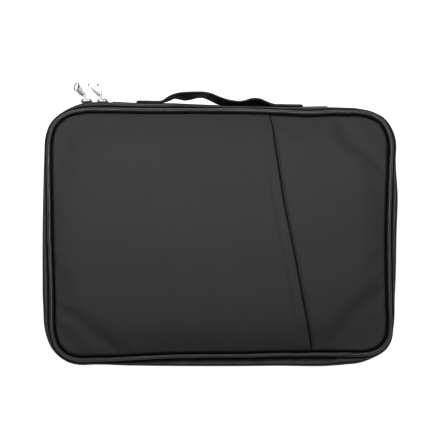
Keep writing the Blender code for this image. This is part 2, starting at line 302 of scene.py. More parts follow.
def thick_line(points, thickness):
    """A closed section of even thickness under an open line of (d, z) points, with rounded ends."""
    line = [Vector(point) for point in points]
    half = thickness / 2
    upper, lower = [], []
    for k, here in enumerate(line):
        along = (line[min(k + 1, len(line) - 1)] - line[max(k - 1, 0)]).normalized()
        side = Vector((-along.y, along.x)) * half
        upper.append(here + side)
        lower.append(here - side)
    start = (line[0] - line[1]).normalized() * half * 0.8
    end = (line[-1] - line[-2]).normalized() * half * 0.8
    ring = upper + [line[-1] + end] + lower[::-1] + [line[0] + start]
    return [tuple(point) for point in ring]


def circle(d, z, radius, sides):
    turn = 2 * math.pi / sides
    return [(d + radius * math.cos(k * turn), z + radius * math.sin(k * turn)) for k in range(sides)]


def ease(value, low, high):
    """0 below low, 1 above high and smooth between."""
    t = min(max((value - low) / (high - low), 0.0), 1.0)
    return t * t * (3 - 2 * t)


def profile(table):
    """A line of straight runs through (position, height) pairs."""
    return lambda x: float(np.interp(x, *zip(*table)))


def wave(x, y, size, seed):
    """Soft noise between about -1 and 1 with features of a given size in millimetres."""
    return drift(x / size, y / size, seed)


# ---- flat soft sheets

RING_INSETS = (1.2, 2.2, 2.8, 3.3, 3.8, 4.3, 4.9, 5.8, 7.0, 8.6, 11.0, 14.0, 18.0)
RING_STEP = 2.4
GRID = 4.0


def ring_points(inset, edge):
    count = int(LENGTH / RING_STEP)
    return [loop_at(LENGTH * k / count, edge(LENGTH * k / count) - inset) for k in range(count)]


def inset_of(x, y, edge):
    """Distance inwards from an edge line that strays from the loop."""
    gaps = np.hypot(POINTS[:, 0] - x, POINTS[:, 1] - y)
    k = int(np.argmin(gaps))
    inwards = (POINTS[k, 0] - x) * NORMALS[k, 0] + (POINTS[k, 1] - y) * NORMALS[k, 1]
    return math.copysign(float(gaps[k]), inwards) + edge(WALKED[k])


def flat_mesh(edge, insets, cut=None, seam=(), extra=(), reserved=None):
    """Triangles over the inside of the loop, denser at the rim. cut(x, y) is positive on the kept side.

    seam holds the points along the cut, in order. Where reserved(x, y) is true, only extra points count.
    """
    outline = ring_points(insets[0], edge)
    spots = []
    for inset in insets[1:]:
        spots += ring_points(inset, edge)
    xs = np.arange(-172, 173, GRID)
    ys = np.arange(-128, 129, GRID * 0.9)
    for row, y in enumerate(ys):
        for x in xs:
            place = (float(x + (row % 2) * GRID / 2), float(y))
            if inset_of(*place, edge) > insets[-1] + GRID * 0.6:
                spots.append(place)
    if cut:
        outline = clip(outline, cut) + list(seam)
        spots = [spot for spot in spots if cut(*spot) > 0.7]
    if reserved:
        spots = [spot for spot in spots if not reserved(*spot)]
    spots += list(extra)
    ring = [Vector(spot) for spot in outline]
    inner = [Vector(spot) for spot in spots]
    loop_face = [list(range(len(ring)))]
    found = geometry.delaunay_2d_cdt(ring + inner, [], loop_face, 1, 1e-4)
    return [tuple(v) for v in found[0]], [tuple(face) for face in found[2]]


def clip(outline, cut):
    """The part of a closed outline where cut is positive, ended exactly on the cut line."""
    kept = []
    for k, here in enumerate(outline):
        there = outline[(k + 1) % len(outline)]
        a, b = cut(*here), cut(*there)
        if a > 0:
            kept.append(here)
        if a * b < 0:
            share = a / (a - b)
            kept.append((here[0] + (there[0] - here[0]) * share, here[1] + (there[1] - here[1]) * share))
    start = next(k for k in range(len(kept)) if cut(*kept[k]) < 0.01 and cut(*kept[k - 1]) < 0.01)
    return kept[start:] + kept[:start]


def slab(name, flat, top, bottom, material):
    """A closed soft sheet between two heights given at each flat point."""
    points, faces = flat
    count = len(points)
    vertices = [(x, y, top[k]) for k, (x, y) in enumerate(points)]
    vertices += [(x, y, bottom[k]) for k, (x, y) in enumerate(points)]
    uvs = [(x * MM, y * MM) for x, y in points] * 2
    edges = {}
    for face in faces:
        for a, b in zip(face, face[1:] + face[:1]):
            edges[(a, b)] = edges.get((a, b), 0) + 1
    rim = [(a, b) for a, b in edges if (b, a) not in edges]
    solid = [tuple(face) for face in faces]
    solid += [tuple(count + v for v in face[::-1]) for face in faces]
    solid += [(b, a, count + a, count + b) for a, b in rim]
    obj = recalc(new_object(name, vertices, solid, material, uvs))
    obj.data.set_sharp_from_angle(angle=math.radians(50))
    return obj


# ---- materials


class Finish:
    """A Principled material with its node tree built up in a few calls."""

    def __init__(self, name, roughness, metallic=0.0):
        self.material = bpy.data.materials.new(name)
        self.material.use_nodes = True
        self.tree = self.material.node_tree
        self.shader = self.tree.nodes["Principled BSDF"]
        self.shader.inputs["Roughness"].default_value = roughness
        self.shader.inputs["Metallic"].default_value = metallic
        self.bumped = None

    def node(self, kind, **settings):
        made = self.tree.nodes.new(kind)
        for key, value in settings.items():
            if key in made.inputs:
                made.inputs[key].default_value = value
            else:
                setattr(made, key, value)
        return made

    def link(self, source, target):
        self.tree.links.new(source, target)

    def coordinates(self, space="Object", scale=(1.0, 1.0, 1.0)):
        place = self.node("ShaderNodeTexCoord")
        mapping = self.node("ShaderNodeMapping")
        mapping.inputs["Scale"].default_value = scale
        self.link(place.outputs[space], mapping.inputs["Vector"])
        return mapping.outputs["Vector"]

    def noise(self, size_mm, detail, space="Object", stretch=(1.0, 1.0, 1.0)):
        made = self.node("ShaderNodeTexNoise", Detail=detail)
        made.inputs["Scale"].default_value = 1.0 / (size_mm * MM)
        self.link(self.coordinates(space, stretch), made.inputs["Vector"])
        return made.outputs["Fac"]

    def ribs(self, pitch_mm, direction, space="UV"):
        """Parallel ribs at a pitch, from 0 in the gaps to 1 on the crests."""
        made = self.node("ShaderNodeTexWave", bands_direction=direction)
        made.inputs["Scale"].default_value = math.pi / 10 / (pitch_mm * MM)
        self.link(self.coordinates(space), made.inputs["Vector"])
        return made.outputs["Fac"]

    def math(self, operation, a, b):
        made = self.node("ShaderNodeMath", operation=operation)
        for slot, value in zip(made.inputs, (a, b)):
            if isinstance(value, (int, float)):
                slot.default_value = value
            else:
                self.link(value, slot)
        return made.outputs[0]

    def between(self, factor, first, second, low=0.0, high=1.0):
        """A colour that runs from first to second as a factor goes from low to high."""
        ramp = self.node("ShaderNodeValToRGB")
        ramp.color_ramp.elements[0].position = low
        ramp.color_ramp.elements[1].position = high
        ramp.color_ramp.elements[0].color = (*first, 1.0)
        ramp.color_ramp.elements[1].color = (*second, 1.0)
        self.link(factor, ramp.inputs["Fac"])
        return ramp.outputs["Color"]

    def color(self, output):
        self.link(output, self.shader.inputs["Base Color"])

    def clouds(self, size_mm, detail, dark, light, spread=(0.3, 0.7)):
        """Colour that drifts between two values in soft clouds, which are given back."""
        made = self.noise(size_mm, detail)
        self.color(self.between(made, dark, light, *spread))
        return made

    def mixed(self, a, b, share):
        """A share of a with the rest from b."""
        return self.math("ADD", self.math("MULTIPLY", a, share), self.math("MULTIPLY", b, 1 - share))

    def roughness(self, factor, low, high):
        made = self.node("ShaderNodeMapRange")
        made.inputs["To Min"].default_value = low
        made.inputs["To Max"].default_value = high
        self.link(factor, made.inputs["Value"])
        self.link(made.outputs["Result"], self.shader.inputs["Roughness"])

    def bump(self, height, depth_mm, strength):
        made = self.node("ShaderNodeBump")
        made.inputs["Strength"].default_value = strength
        made.inputs["Distance"].default_value = depth_mm * MM
        self.link(height, made.inputs["Height"])
        if self.bumped:
            self.link(self.bumped, made.inputs["Normal"])
        self.bumped = made.outputs["Normal"]
        self.link(self.bumped, self.shader.inputs["Normal"])

    def gloss(self, **sockets):
        for key, value in sockets.items():
            self.shader.inputs[key.replace("_", " ")].default_value = value


def grey(value, warmth=0.0):
    return (value + warmth, value, value - warmth * 0.6)


def coated_fabric():
    """Matte coated cloth: fine grain, faint threads under the coat and soft clouds of handling."""
    finish = Finish("coated_fabric", 0.6)
    clouds = finish.noise(46.0, 3.0)
    grain = finish.noise(0.45, 2.0)
    finish.color(finish.between(finish.mixed(clouds, grain, 0.75), grey(0.030), grey(0.041), 0.3, 0.7))
    finish.roughness(clouds, 0.55, 0.66)
    finish.bump(finish.noise(9.0, 3.0), 0.10, 0.35)
    threads = finish.math("ADD", finish.ribs(0.6, "X", "Object"), finish.ribs(0.6, "Y", "Object"))
    finish.bump(threads, 0.012, 0.4)
    finish.bump(grain, 0.03, 0.5)
    return finish.material


def clouded(name, roughness, clouds, polish=None, bumps=(), metallic=0.0, specular=None):
    """A finish coloured by soft clouds, which can also set its polish, over fine bumps."""
    finish = Finish(name, roughness, metallic)
    made = finish.clouds(*clouds)
    if polish:
        finish.roughness(made, *polish)
    for depth_mm, strength, *texture in bumps:
        finish.bump(finish.noise(*texture), depth_mm, strength)
    if specular is not None:
        finish.gloss(Specular_IOR_Level=specular)
    return finish.material


def webbing(name, dark, light, pitch):
    """Woven tape: ribs across it, broken into picks along it."""
    finish = Finish(name, 0.78)
    finish.gloss(Specular_IOR_Level=0.2)
    picks = finish.math("ADD", finish.math("MULTIPLY", finish.ribs(pitch * 0.8, "Y"), 0.5), 0.5)
    weave = finish.math("MULTIPLY", finish.ribs(pitch, "X"), picks)
    finish.color(finish.between(weave, dark, light, 0.15, 0.95))
    finish.bump(weave, 0.16, 0.8)
    finish.bump(finish.noise(0.25, 2.0), 0.03, 0.5)
    return finish.material


def thread(name, color):
    finish = Finish(name, 0.6)
    twist = finish.noise(0.35, 1.0, "Object", (1.0, 2.5, 1.0))
    finish.color(finish.between(twist, color, grey(color[0] * 1.7), 0.3, 0.7))
    finish.bump(twist, 0.05, 0.6)
    return finish.material


def lining_cloth():
    """Dark grey plain-woven lining."""
    finish = Finish("lining_cloth", 0.85)
    weave = finish.math("MULTIPLY", finish.ribs(0.8, "X", "Object"), finish.ribs(0.8, "Y", "Object"))
    clouds = finish.noise(30.0, 3.0)
    finish.color(finish.between(finish.mixed(clouds, weave, 0.6), grey(0.07), grey(0.12), 0.2, 0.8))
    finish.bump(weave, 0.06, 0.6)
    finish.bump(finish.noise(14.0, 2.0), 0.3, 0.3)
    return finish.material


def foam():
    """Closed-cell foam, grey with small open pores on its cut faces."""
    finish = Finish("closed_cell_foam", 0.95)
    cells = finish.node("ShaderNodeTexVoronoi")
    cells.inputs["Scale"].default_value = 1.0 / (1.2 * MM)
    finish.link(finish.coordinates(), cells.inputs["Vector"])
    finish.color(finish.between(cells.outputs["Distance"], grey(0.12), grey(0.26), 0.1, 0.7))
    finish.bump(cells.outputs["Distance"], 0.2, 0.6)
    return finish.material


def polished_metal():
    """Bright plated zinc, polished, with faint swirls and hairline scratches."""
    finish = Finish("polished_metal", 0.14, 1.0)
    finish.clouds(4.0, 2.0, grey(0.80, 0.004), grey(0.90))
    scratches = finish.noise(0.5, 3.0, "Object", (1.0, 7.0, 1.0))
    finish.roughness(scratches, 0.07, 0.2)
    finish.bump(scratches, 0.004, 0.25)
    return finish.material


FABRIC = coated_fabric()
# The same cloth cut in strips, a little glossier where it is bent round the edge.
STRIP_BUMPS = ((0.16, 0.4, 5.0, 2.0), (0.03, 0.5, 0.45, 2.0))
GUSSET = clouded("gusset_fabric", 0.5, (18.0, 3.0, grey(0.022), grey(0.036)), (0.38, 0.5), STRIP_BUMPS)
# The spine along the bottom takes the same cloth painted darker, as painted shade where the bottom faces
# away from the light.
SPINE_PAINTED_SHADE = clouded("spine_fabric_painted_shade", 0.5, (18.0, 3.0, grey(0.012), grey(0.02)), (0.38, 0.5), STRIP_BUMPS)
# Satin vinyl over a cord, with fine cross wrinkles and slightly rubbed tops.
PIPING_BUMPS = ((0.10, 0.35, 1.6, 2.0, "UV", (1.0, 0.25, 1.0)), (0.02, 0.4, 0.4, 2.0))
PIPING = clouded("piping_vinyl", 0.4, (12.0, 3.0, grey(0.035), grey(0.053)), (0.27, 0.39), PIPING_BUMPS)
STRAP = webbing("strap_webbing", grey(0.004), grey(0.012), 1.3)
BINDING = webbing("binding_tape", grey(0.008), grey(0.022), 0.9)
TAPE = webbing("zip_tape", grey(0.008), grey(0.018), 0.7)
THREAD = thread("black_thread", grey(0.02))
SEAM = thread("strap_seam", grey(0.16))
COIL_BUMPS = ((0.01, 0.3, 0.3, 1.0),)
COIL = clouded("coil_nylon", 0.32, (3.0, 2.0, grey(0.008), grey(0.016)), (0.26, 0.4), COIL_BUMPS)
LINING = lining_cloth()
FOAM = foam()
METAL = polished_metal()
# The same plating on the flat tabs, dulled by handling.
TAB_METAL = clouded(
    "satin_metal", 0.3, (4.0, 2.0, grey(0.80, 0.004), grey(0.86)), (0.28, 0.36), metallic=1.0
)
# Glossy black paint on the slider bodies.
ENAMEL = clouded("black_enamel", 0.35, (2.0, 2.0, grey(0.008), grey(0.014), (0.0, 1.0)), specular=0.25)
# Painted shade: a matte near-black material laid in the seams beside the piping, at the foot of the side
# walls and under the pocket's mouth, where the case only lies in shadow.
PAINTED_SEAM_SHADE = clouded("seam_painted_shade", 0.9, (0.6, 2.0, grey(0.003), grey(0.006), (0.0, 1.0)), specular=0.15)


def hand_in(obj, body, slot, *nodes):
    """Rides a piece on its body and lets it stand for its CAD nodes. Its slot is not used."""
    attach(obj, body)
    if nodes:
        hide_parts(*nodes)


# ---- cover face and back face

FRONT_PIPING_Z = (PIPING_LOW.z + PIPING_HIGH.z) / 2
BACK_PIPING_Z = sum(corner.z for corner in box_mm("back_piping")) / 2
FACE_Z = box_mm("front_panel")[1].z
SKIN = 0.8

# Height of the cover's skin below its face, from under the piping, through the groove and up the rim.
rim_drop = profile((
    (0.0, 4.6), (2.0, 4.8), (2.8, 4.7), (3.3, 3.7), (3.8, 2.2), (4.3, 1.25), (4.9, 0.8), (5.8, 0.5),
    (7.2, 0.3), (9.5, 0.12), (14.0, 0.0),
))
# How far the padding lifts the middle of the cover.
CROWN = 2.4
# Up to this distance in from the edge, the cover's groove is painted near-black as shade.
SEAM_SHADE_INSET = 3.6
# How far the panel is pressed down under the pocket's mouth, and where beside it a painted shadow line
# lies.
MOUTH_DIP = 1.0
MOUTH_SHADE_BAND = (-3.9, 1.1)
# Heights of the pocket's outer face over the panel, and of its hem over the rest.
POCKET_RISE = 0.95
HEM_RISE = 0.45

# X of the pocket's slanted edge at each Y. It is a little bowed and folds back at its top.
mouth_x = through((
    (-124, 92.2), (-105, 89.6), (-90, 87.1), (-70, 83.3), (-50, 79.5), (-30, 75.8), (0, 69.8),
    (20, 65.7), (40, 62.1), (60, 59.0), (80, 55.9), (95, 53.6), (104, 52.4), (108, 51.6), (112, 50.4),
    (118, 48.3), (124, 47.0),
))
# The width of the hem behind it, to the line of its stitches.
HEM = 10.0
# The cosine of its slant, between a distance along X and one across it.
MOUTH_COSINE = 0.982


def mouth_gap(x, y):
    """Distance to the right of the pocket's slanted edge."""
    return (x - mouth_x(y)) * MOUTH_COSINE


def face_height(x, y, inset):
    """The cover's outer skin: dropped into the groove, crowned by its padding, softly uneven."""
    crown = CROWN * (1 - abs(x / 176) ** 3) * (1 - abs(y / 129) ** 3)
    soft = 0.22 * wave(x, y, 55.0, 3.0) + 0.10 * wave(x, y, 24.0, 9.0)
    fade = ease(inset, 4.0, 16.0)
    return FACE_Z - rim_drop(inset) + crown * ease(inset, 3.5, 30.0) + soft * fade


CLOTH_FRAMES = 20
PINNED_INSET = 4.3
CLOTH_SETTINGS = {
    "quality": 6, "mass": 0.3, "vertex_group_mass": "pinned", "tension_stiffness": 60,
    "compression_stiffness": 60, "shear_stiffness": 20, "bending_stiffness": 6, "use_pressure": True,
    "shrink_min": -0.004,
}


def cloth_rises(name, flat, heights, insets, pressure, cap):
    """Swells a sheet of cloth, pinned at its rim, and gives how far each point rises, up to a cap."""
    points, faces = flat
    mesh = bpy.data.meshes.new(name)
    mesh.from_pydata([(x * MM, y * MM, z * MM) for (x, y), z in zip(points, heights)], [], faces)
    sheet = placed(name, mesh)
    pinned = sheet.vertex_groups.new(name="pinned")
    pinned.add([k for k, inset in enumerate(insets) if inset < PINNED_INSET], 1.0, "REPLACE")
    cloth = sheet.modifiers.new("cloth", "CLOTH")
    for setting, value in CLOTH_SETTINGS.items():
        setattr(cloth.settings, setting, value)
    cloth.settings.uniform_pressure_force = pressure
    cloth.settings.effector_weights.gravity = 0.0
    cloth.collision_settings.use_collision = False
    cloth.point_cache.frame_start = 1
    cloth.point_cache.frame_end = CLOTH_FRAMES
    for step in range(1, CLOTH_FRAMES + 1):
        bpy.context.scene.frame_set(step)
    settled = sheet.evaluated_get(bpy.context.evaluated_depsgraph_get()).to_mesh()
    rises = [max(-cap, min(cap, v.co.z / MM - z)) for v, z in zip(settled.vertices, heights)]
    bpy.data.objects.remove(sheet)
    bpy.context.scene.frame_set(1)
    return rises


def smoothed(faces, values):
    """Averages values over neighbouring points, twice."""
    near = [set() for _ in values]
    for face in faces:
        for a, b in zip(face, face[1:] + face[:1]):
            near[a].add(b)
            near[b].add(a)
    for _ in range(2):
        values = [
            0.5 * value + 0.5 * sum(values[k] for k in near[index]) / max(len(near[index]), 1)
            for index, value in enumerate(values)
        ]
    return values


def settled_face(name, flat, pressure, cap):
    """The insets of a cover sheet's points and their heights once its cloth has settled."""
    points, faces = flat
    insets = [inset_of(x, y, cover_edge) for x, y in points]
    heights = [face_height(x, y, inset) for (x, y), inset in zip(points, insets)]
    rises = smoothed(faces, cloth_rises(name, flat, heights, insets, pressure, cap))
    heights = [z + rise for z, rise in zip(heights, rises)]
    return insets, heights


def sheet_lookup(flat, heights):
    """A function that gives a sheet's height at a place on it, or otherwise a value handed to it."""
    points, faces = flat
    tree = BVHTree.FromPolygons([(x, y, z) for (x, y), z in zip(points, heights)], faces)

    def look(x, y, otherwise):
        hit = tree.ray_cast(Vector((x, y, 100.0)), Vector((0.0, 0.0, -1.0)))[0]
        return otherwise if hit is None else hit.z

    return look


def mouth_lines(offsets):
    """Points on lines beside the pocket's mouth, at distances to the right of it, closer near the rim."""
    spots = []
    ends = np.arange(100.0, 122.0, 0.75)
    rows = np.concatenate([-ends[::-1], np.arange(-98.0, 98.5, 2.0), ends])
    for offset in offsets:
        for y in rows:
            spot = (mouth_x(float(y)) + offset / MOUTH_COSINE, float(y))
            if inset_of(*spot, cover_edge) > RING_INSETS[0] + 0.5:
                spots.append(spot)
    return spots


def paint_seam_shade(sheet, mouth):
    """Paints shade on a cover sheet: near-black in the groove beside the piping, and a shadow line under
    the pocket's mouth.
    """
    sheet.data.materials.append(PAINTED_SEAM_SHADE)
    for face in sheet.data.polygons:
        x, y, _ = face.center / MM
        inset = inset_of(x, y, cover_edge)
        in_mouth_shade = mouth and MOUTH_SHADE_BAND[0] < mouth_gap(x, y) < MOUTH_SHADE_BAND[1] and inset > 4.5
        if inset < SEAM_SHADE_INSET or in_mouth_shade:
            face.material_index = 1


def build_front_panel():
    """The cover's panel, pressed down under the pocket's mouth. Gives a lookup of its height before."""
    lines = mouth_lines((-4.0, -2.0, -0.6, 0.0, 0.4, 0.8, 1.1, 1.6, 2.4, 3.5, 5.0))
    flat = flat_mesh(
        cover_edge, RING_INSETS, extra=lines, reserved=lambda x, y: -5.0 < mouth_gap(x, y) < 7.0
    )
    insets, heights = settled_face("panel_cloth", flat, 1.2, 1.0)
    height_at = sheet_lookup(flat, heights)
    for k, (x, y) in enumerate(flat[0]):
        gap = mouth_gap(x, y)
        dip = ease(gap, -4.0, -1.0) * (1 - ease(gap, 0.6, 4.5))
        heights[k] -= MOUTH_DIP * dip * ease(insets[k], 4.0, 9.0)
    panel = slab("front_panel_skin", flat, heights, [z - SKIN for z in heights], FABRIC)
    paint_seam_shade(panel, True)
    hand_in(panel, "cover", "coated_fabric", "front_panel")
    return height_at


def build_pocket(panel_height):
    """The pocket over the panel's left three quarters, with its hemmed slanted edge."""
    lines = mouth_lines((-0.35, -0.8, -1.6, -3.0, -5.0, -8.0, -9.2, -9.8, -10.4, -11.2, -12.6, -15.0))
    flat = flat_mesh(
        cover_edge, RING_INSETS, lambda x, y: -mouth_gap(x, y), mouth_lines((0.0,)), lines,
        lambda x, y: mouth_gap(x, y) > -16.5,
    )
    points, faces = flat
    insets, under = settled_face("pocket_cloth", flat, 1.4, 1.2)
    pushes = [max(0.0, panel_height(x, y, z) - z) for (x, y), z in zip(points, under)]
    under = [z + push for z, push in zip(under, smoothed(faces, pushes))]
    top, bottom = [], []
    for (x, y), inset, z in zip(points, insets, under):
        back = -mouth_gap(x, y)
        hem = 1.0 - ease(back, HEM - 0.2, HEM + 1.2)
        fold = 0.75 * (1 - min(back / 0.8, 1.0)) ** 2
        stitch_dip = 0.16 * math.exp(-((back - HEM + 0.2) / 0.6) ** 2)
        lift = POCKET_RISE + (HEM_RISE * hem - fold - stitch_dip) * ease(inset, 4.5, 9.0)
        gape = 0.35 * math.exp(-back / 9.0) * ease(inset, 10.0, 60.0)
        top.append(z + lift + gape)
        bottom.append(z + 0.12 + gape * 0.8 + 0.1 * fold)
    pocket = slab("pocket_panel_skin", flat, top, bottom, FABRIC)
    paint_seam_shade(pocket, False)
    hand_in(pocket, "cover", "coated_fabric", "pocket_panel")


def build_back_face():
    """The back panel: flat where it rests, rolled up into the groove beside its piping."""
    flat = flat_mesh(back_edge, RING_INSETS)
    points, _ = flat
    heights = []
    for x, y in points:
        inset = inset_of(x, y, back_edge)
        rise = rim_drop(inset) * 0.8
        heights.append(rise + 0.12 * (1 + wave(x, y, 30.0, 21.0)) * ease(inset, 6.0, 20.0))
    top = [z + 1.0 for z in heights]
    panel = slab("back_panel_skin", flat, top, heights, FABRIC)
    hand_in(panel, "base", "coated_fabric", "back_outer_panel")


def build_padding():
    """Foam and lining of both halves, one above the other."""
    insets = (5.6, 6.2, 7.2, 9.0, 12.0, 16.0, 24.0)
    for half, body, edge in (("back", "base", back_edge), ("front", "cover", cover_edge)):
        for node, material, slot in (("foam_pad", FOAM, "foam"), ("lining", LINING, "lining")):
            low, high = box_mm(f"{half}_{node}")
            flat = flat_mesh(edge, insets)
            top, bottom = [], []
            for x, y in flat[0]:
                inset = inset_of(x, y, edge)
                soft = 0.25 * wave(x, y, 38.0, 5.0) * ease(inset, 7.0, 20.0) if node == "lining" else 0.0
                rim = 0.35 * (1 - ease(inset, insets[0], insets[0] + 2.0)) * (high.z - low.z)
                sunk = 1.3 * (1 - ease(inset, 6.0, 13.0)) if node == "lining" else 0.0
                sign = -1.0 if half == "front" else 1.0
                shift = soft - sign * sunk
                ceiling = face_height(x, y, inset) - SKIN - MOUTH_DIP - 0.2 if half == "front" else high.z
                top.append(min(high.z, ceiling) - rim + shift)
                bottom.append(low.z + rim + shift)
            piece = slab(f"{half}_{node}_soft", flat, top, bottom, material)
            hand_in(piece, body, slot, f"{half}_{node}")


# ---- edges


def piping_wobble(u):
    return 0.16 * drift(u / 17.0, 0.0, 4.0) + 0.07 * drift(u / 5.0, 2.0, 4.0)


BINDING_THICK = 1.3
# Where the ends of the front piping meet, on the left side.
JOINT_U = nearest_u(-170.0, -13.5)


def build_piping():
    """A covered cord round each panel. The ends of the front one overlap on the left side."""

    def front(u):
        past = u - JOINT_U
        swell = 1 + 0.06 * math.exp(-((past - 1.0) / 1.3) ** 2)
        step = 0.55 * (1 / (1 + math.exp(past / 0.5)) - 0.5) * math.exp(-abs(past) / 25)
        radius = CORD_RADIUS * swell * (1 + 0.15 * piping_wobble(u))
        d = cover_edge(u) + piping_wobble(u) + step
        return circle(d, FRONT_PIPING_Z + 0.3 * piping_wobble(u + 300), radius, 16)

    def back(u):
        return circle(back_edge(u) + piping_wobble(u + 500), BACK_PIPING_Z, CORD_RADIUS, 16)

    for half, body, edge, cord in (
        ("front", "cover", cover_edge, front),
        ("back", "base", back_edge, back),
    ):
        piping = sweep(f"{half}_piping_cord", 0.0, LENGTH, 1.5, cord, PIPING)
        hand_in(piping, body, "piping_vinyl", f"{half}_piping")
        low, high = box_mm(f"{half}_seam_binding")

        def tape(u):
            d = edge(u) - 4.0 + 0.12 * drift(u / 9.0, 5.0, 1.0)
            line = [(d, low.z + 0.4), (d - 0.25, (low.z + high.z) / 2), (d, high.z - 0.4)]
            return thick_line(line, BINDING_THICK)

        binding = sweep(f"{half}_binding", 0.0, LENGTH, 2.5, tape, BINDING)
        hand_in(binding, body, "binding_tape", f"{half}_seam_binding")


CHAIN_FIRST = nearest_u(120.0, LOOP_BOTTOM)
CHAIN_LAST = LENGTH - CHAIN_FIRST
SPINE_LAST = nearest_u(116.2, LOOP_BOTTOM)
WALL_FIRST = nearest_u(115.6, LOOP_BOTTOM)
WALL_LAST = LENGTH - WALL_FIRST
GUSSET_SKIN = 0.9


def wall_edge(u):
    """How far out the middle of the side wall's skin reaches."""
    return belly(u) - GUSSET_SKIN / 2


def front_wall(u):
    """The strip between the cover's piping and the zip: down behind the cord, then out over the edge.

    Its ends are lifted clear of the back wall, which they meet when the cover lies open.
    """
    cord = cover_edge(u) + CORD_RADIUS
    out = max(wall_edge(u), cord + 1.3)
    foot = cord + min(0.4, 0.2 * (out - cord))
    seam = min(0.75, 0.55 * (out - foot))
    rise = out - foot - seam
    lift = 0.25 * drift(u / 13.0, 3.0, 1.0)
    clear = 0.7 * math.exp(-min(u - WALL_FIRST, WALL_LAST - u) / 5.0)
    return [
        (cord - 2.0, 27.4),
        (cord - 0.7, 26.5),
        (foot, 25.7),
        (foot + seam, 26.8),
        (foot + seam + 0.14 * rise, 27.9 + lift),
        (foot + seam + 0.42 * rise, 28.3 + lift),
        (foot + seam + 0.70 * rise, 28.1 + lift),
        (foot + seam + 0.90 * rise, 27.4),
        (out, 26.6 + 0.8 * clear),
        (out - 0.1, 26.0 + clear),
    ]


def back_wall(u):
    """The deep side wall, bellied out between the back piping and the zip."""
    start = back_edge(u)
    wall = [(start - 0.3, 5.2)]
    for share, z in (
        (0.45, 6.3), (0.8, 8.6), (0.97, 12.0), (1.0, 15.5), (0.985, 19.0), (0.96, 21.0), (0.92, 21.8),
    ):
        wobble = 0.22 * drift(u / 21.0, z / 7.0, 8.0)
        wall.append((start + (wall_edge(u) - start) * share + wobble, z))
    return wall


def spine_wall(u):
    """The fabric hinge: one wide strip from the cover's piping round to the back piping."""
    cord = cover_edge(u) + CORD_RADIUS
    low = back_edge(u)
    out = wall_edge(u)
    foot = cord + 0.9
    rise = out - foot
    ripple = 0.3 * drift(u / 15.0, 6.0, 2.0)
    return [
        (cord - 2.0, 27.4),
        (cord - 0.7, 26.3),
        (foot, 25.8),
        (foot + 0.14 * rise, 26.9),
        (foot + 0.34 * rise, 27.6 + ripple * 0.5),
        (foot + 0.56 * rise, 28.0 + ripple),
        (foot + 0.74 * rise, 28.3 + ripple),
        (foot + 0.86 * rise, 28.0),
        (foot + 0.94 * rise, 26.9),
        (out, 25.2),
        (out, 23.5),
        (out - 0.1, 20.5),
        (low + (out - low) * 0.93, 15.5),
        (low + (out - low) * 0.8, 11.0),
        (low + (out - low) * 0.45, 7.0),
        (low - 0.2, 5.3),
    ]


def build_gussets():
    """The side walls on both sides of the zip, and the fabric hinge between their ends."""

    def strip(name, first, last, wall, material):
        return sweep(name, first, last, 2.0, lambda u: thick_line(wall(u), GUSSET_SKIN), material)

    front = strip("front_gusset_strip", WALL_FIRST, WALL_LAST, front_wall, GUSSET)
    paint_foot_shade(front, front_wall)
    hand_in(front, "cover", "coated_fabric", "front_gusset")
    back = strip("back_gusset_wall", WALL_FIRST, WALL_LAST, back_wall, GUSSET)
    hand_in(back, "base", "coated_fabric", "back_gusset")
    spine = strip("spine_fabric_painted_shade", -SPINE_LAST, SPINE_LAST, spine_wall, SPINE_PAINTED_SHADE)
    paint_foot_shade(spine, spine_wall)
    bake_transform(spine)
    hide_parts("back_spine_gusset", "front_spine_gusset")


# ---- zip chain

COIL_PITCH = 1.5
COIL_WIRE = 0.3
COIL_DEPTH = 0.75
COIL_HALF = 1.4
COIL_SIDES = 5
TURN_STEPS = 8
TAPE_BEHIND = 1.35
TAPE_THICK = 0.5


def build_coil(name, middle_z, phase):
    """One row of the zip: a flattened nylon helix along the chain line."""
    turns = int((CHAIN_LAST - CHAIN_FIRST) / COIL_PITCH)
    centers, alongs = [], []
    for step in range(turns * TURN_STEPS + 1):
        angle = 2 * math.pi * (step / TURN_STEPS + phase)
        u = CHAIN_FIRST + COIL_PITCH * step / TURN_STEPS
        x, y = loop_at(u, chain_line(u) + COIL_DEPTH * math.sin(angle))
        nx, ny = (np.interp(u % LENGTH, WALKED, NORMALS[:, k]) for k in (0, 1))
        centers.append((x, y, middle_z + COIL_HALF * math.cos(angle)))
        alongs.append((-ny, nx, 0.0))
    centers = np.array(centers)
    tangents = np.gradient(centers, axis=0)
    tangents /= np.linalg.norm(tangents, axis=1)[:, None]
    side = np.array(alongs)
    side -= tangents * np.sum(side * tangents, axis=1)[:, None]
    side /= np.linalg.norm(side, axis=1)[:, None]
    other = np.cross(tangents, side)
    rings = []
    for center, a, b in zip(centers, side, other):
        ring = []
        for k in range(COIL_SIDES):
            turn = 2 * math.pi * k / COIL_SIDES
            ring.append(tuple(center + COIL_WIRE * (math.cos(turn) * a + math.sin(turn) * b)))
        rings.append(ring)
    return loft(name, rings, COIL, False)


def rounded_box(name, size, radius, material):
    """A box with rounded edges, centred on its own origin."""
    work = bmesh.new()
    bmesh.ops.create_cube(work, size=1.0)
    bmesh.ops.scale(work, vec=size * MM, verts=work.verts)
    bmesh.ops.bevel(
        work, geom=work.edges[:], offset=radius * MM, segments=3, profile=0.5, affect="EDGES"
    )
    mesh = bpy.data.meshes.new(name)
    work.to_mesh(mesh)
    work.free()
    mesh.shade_smooth()
    mesh.materials.append(material)
    return placed(name, mesh)


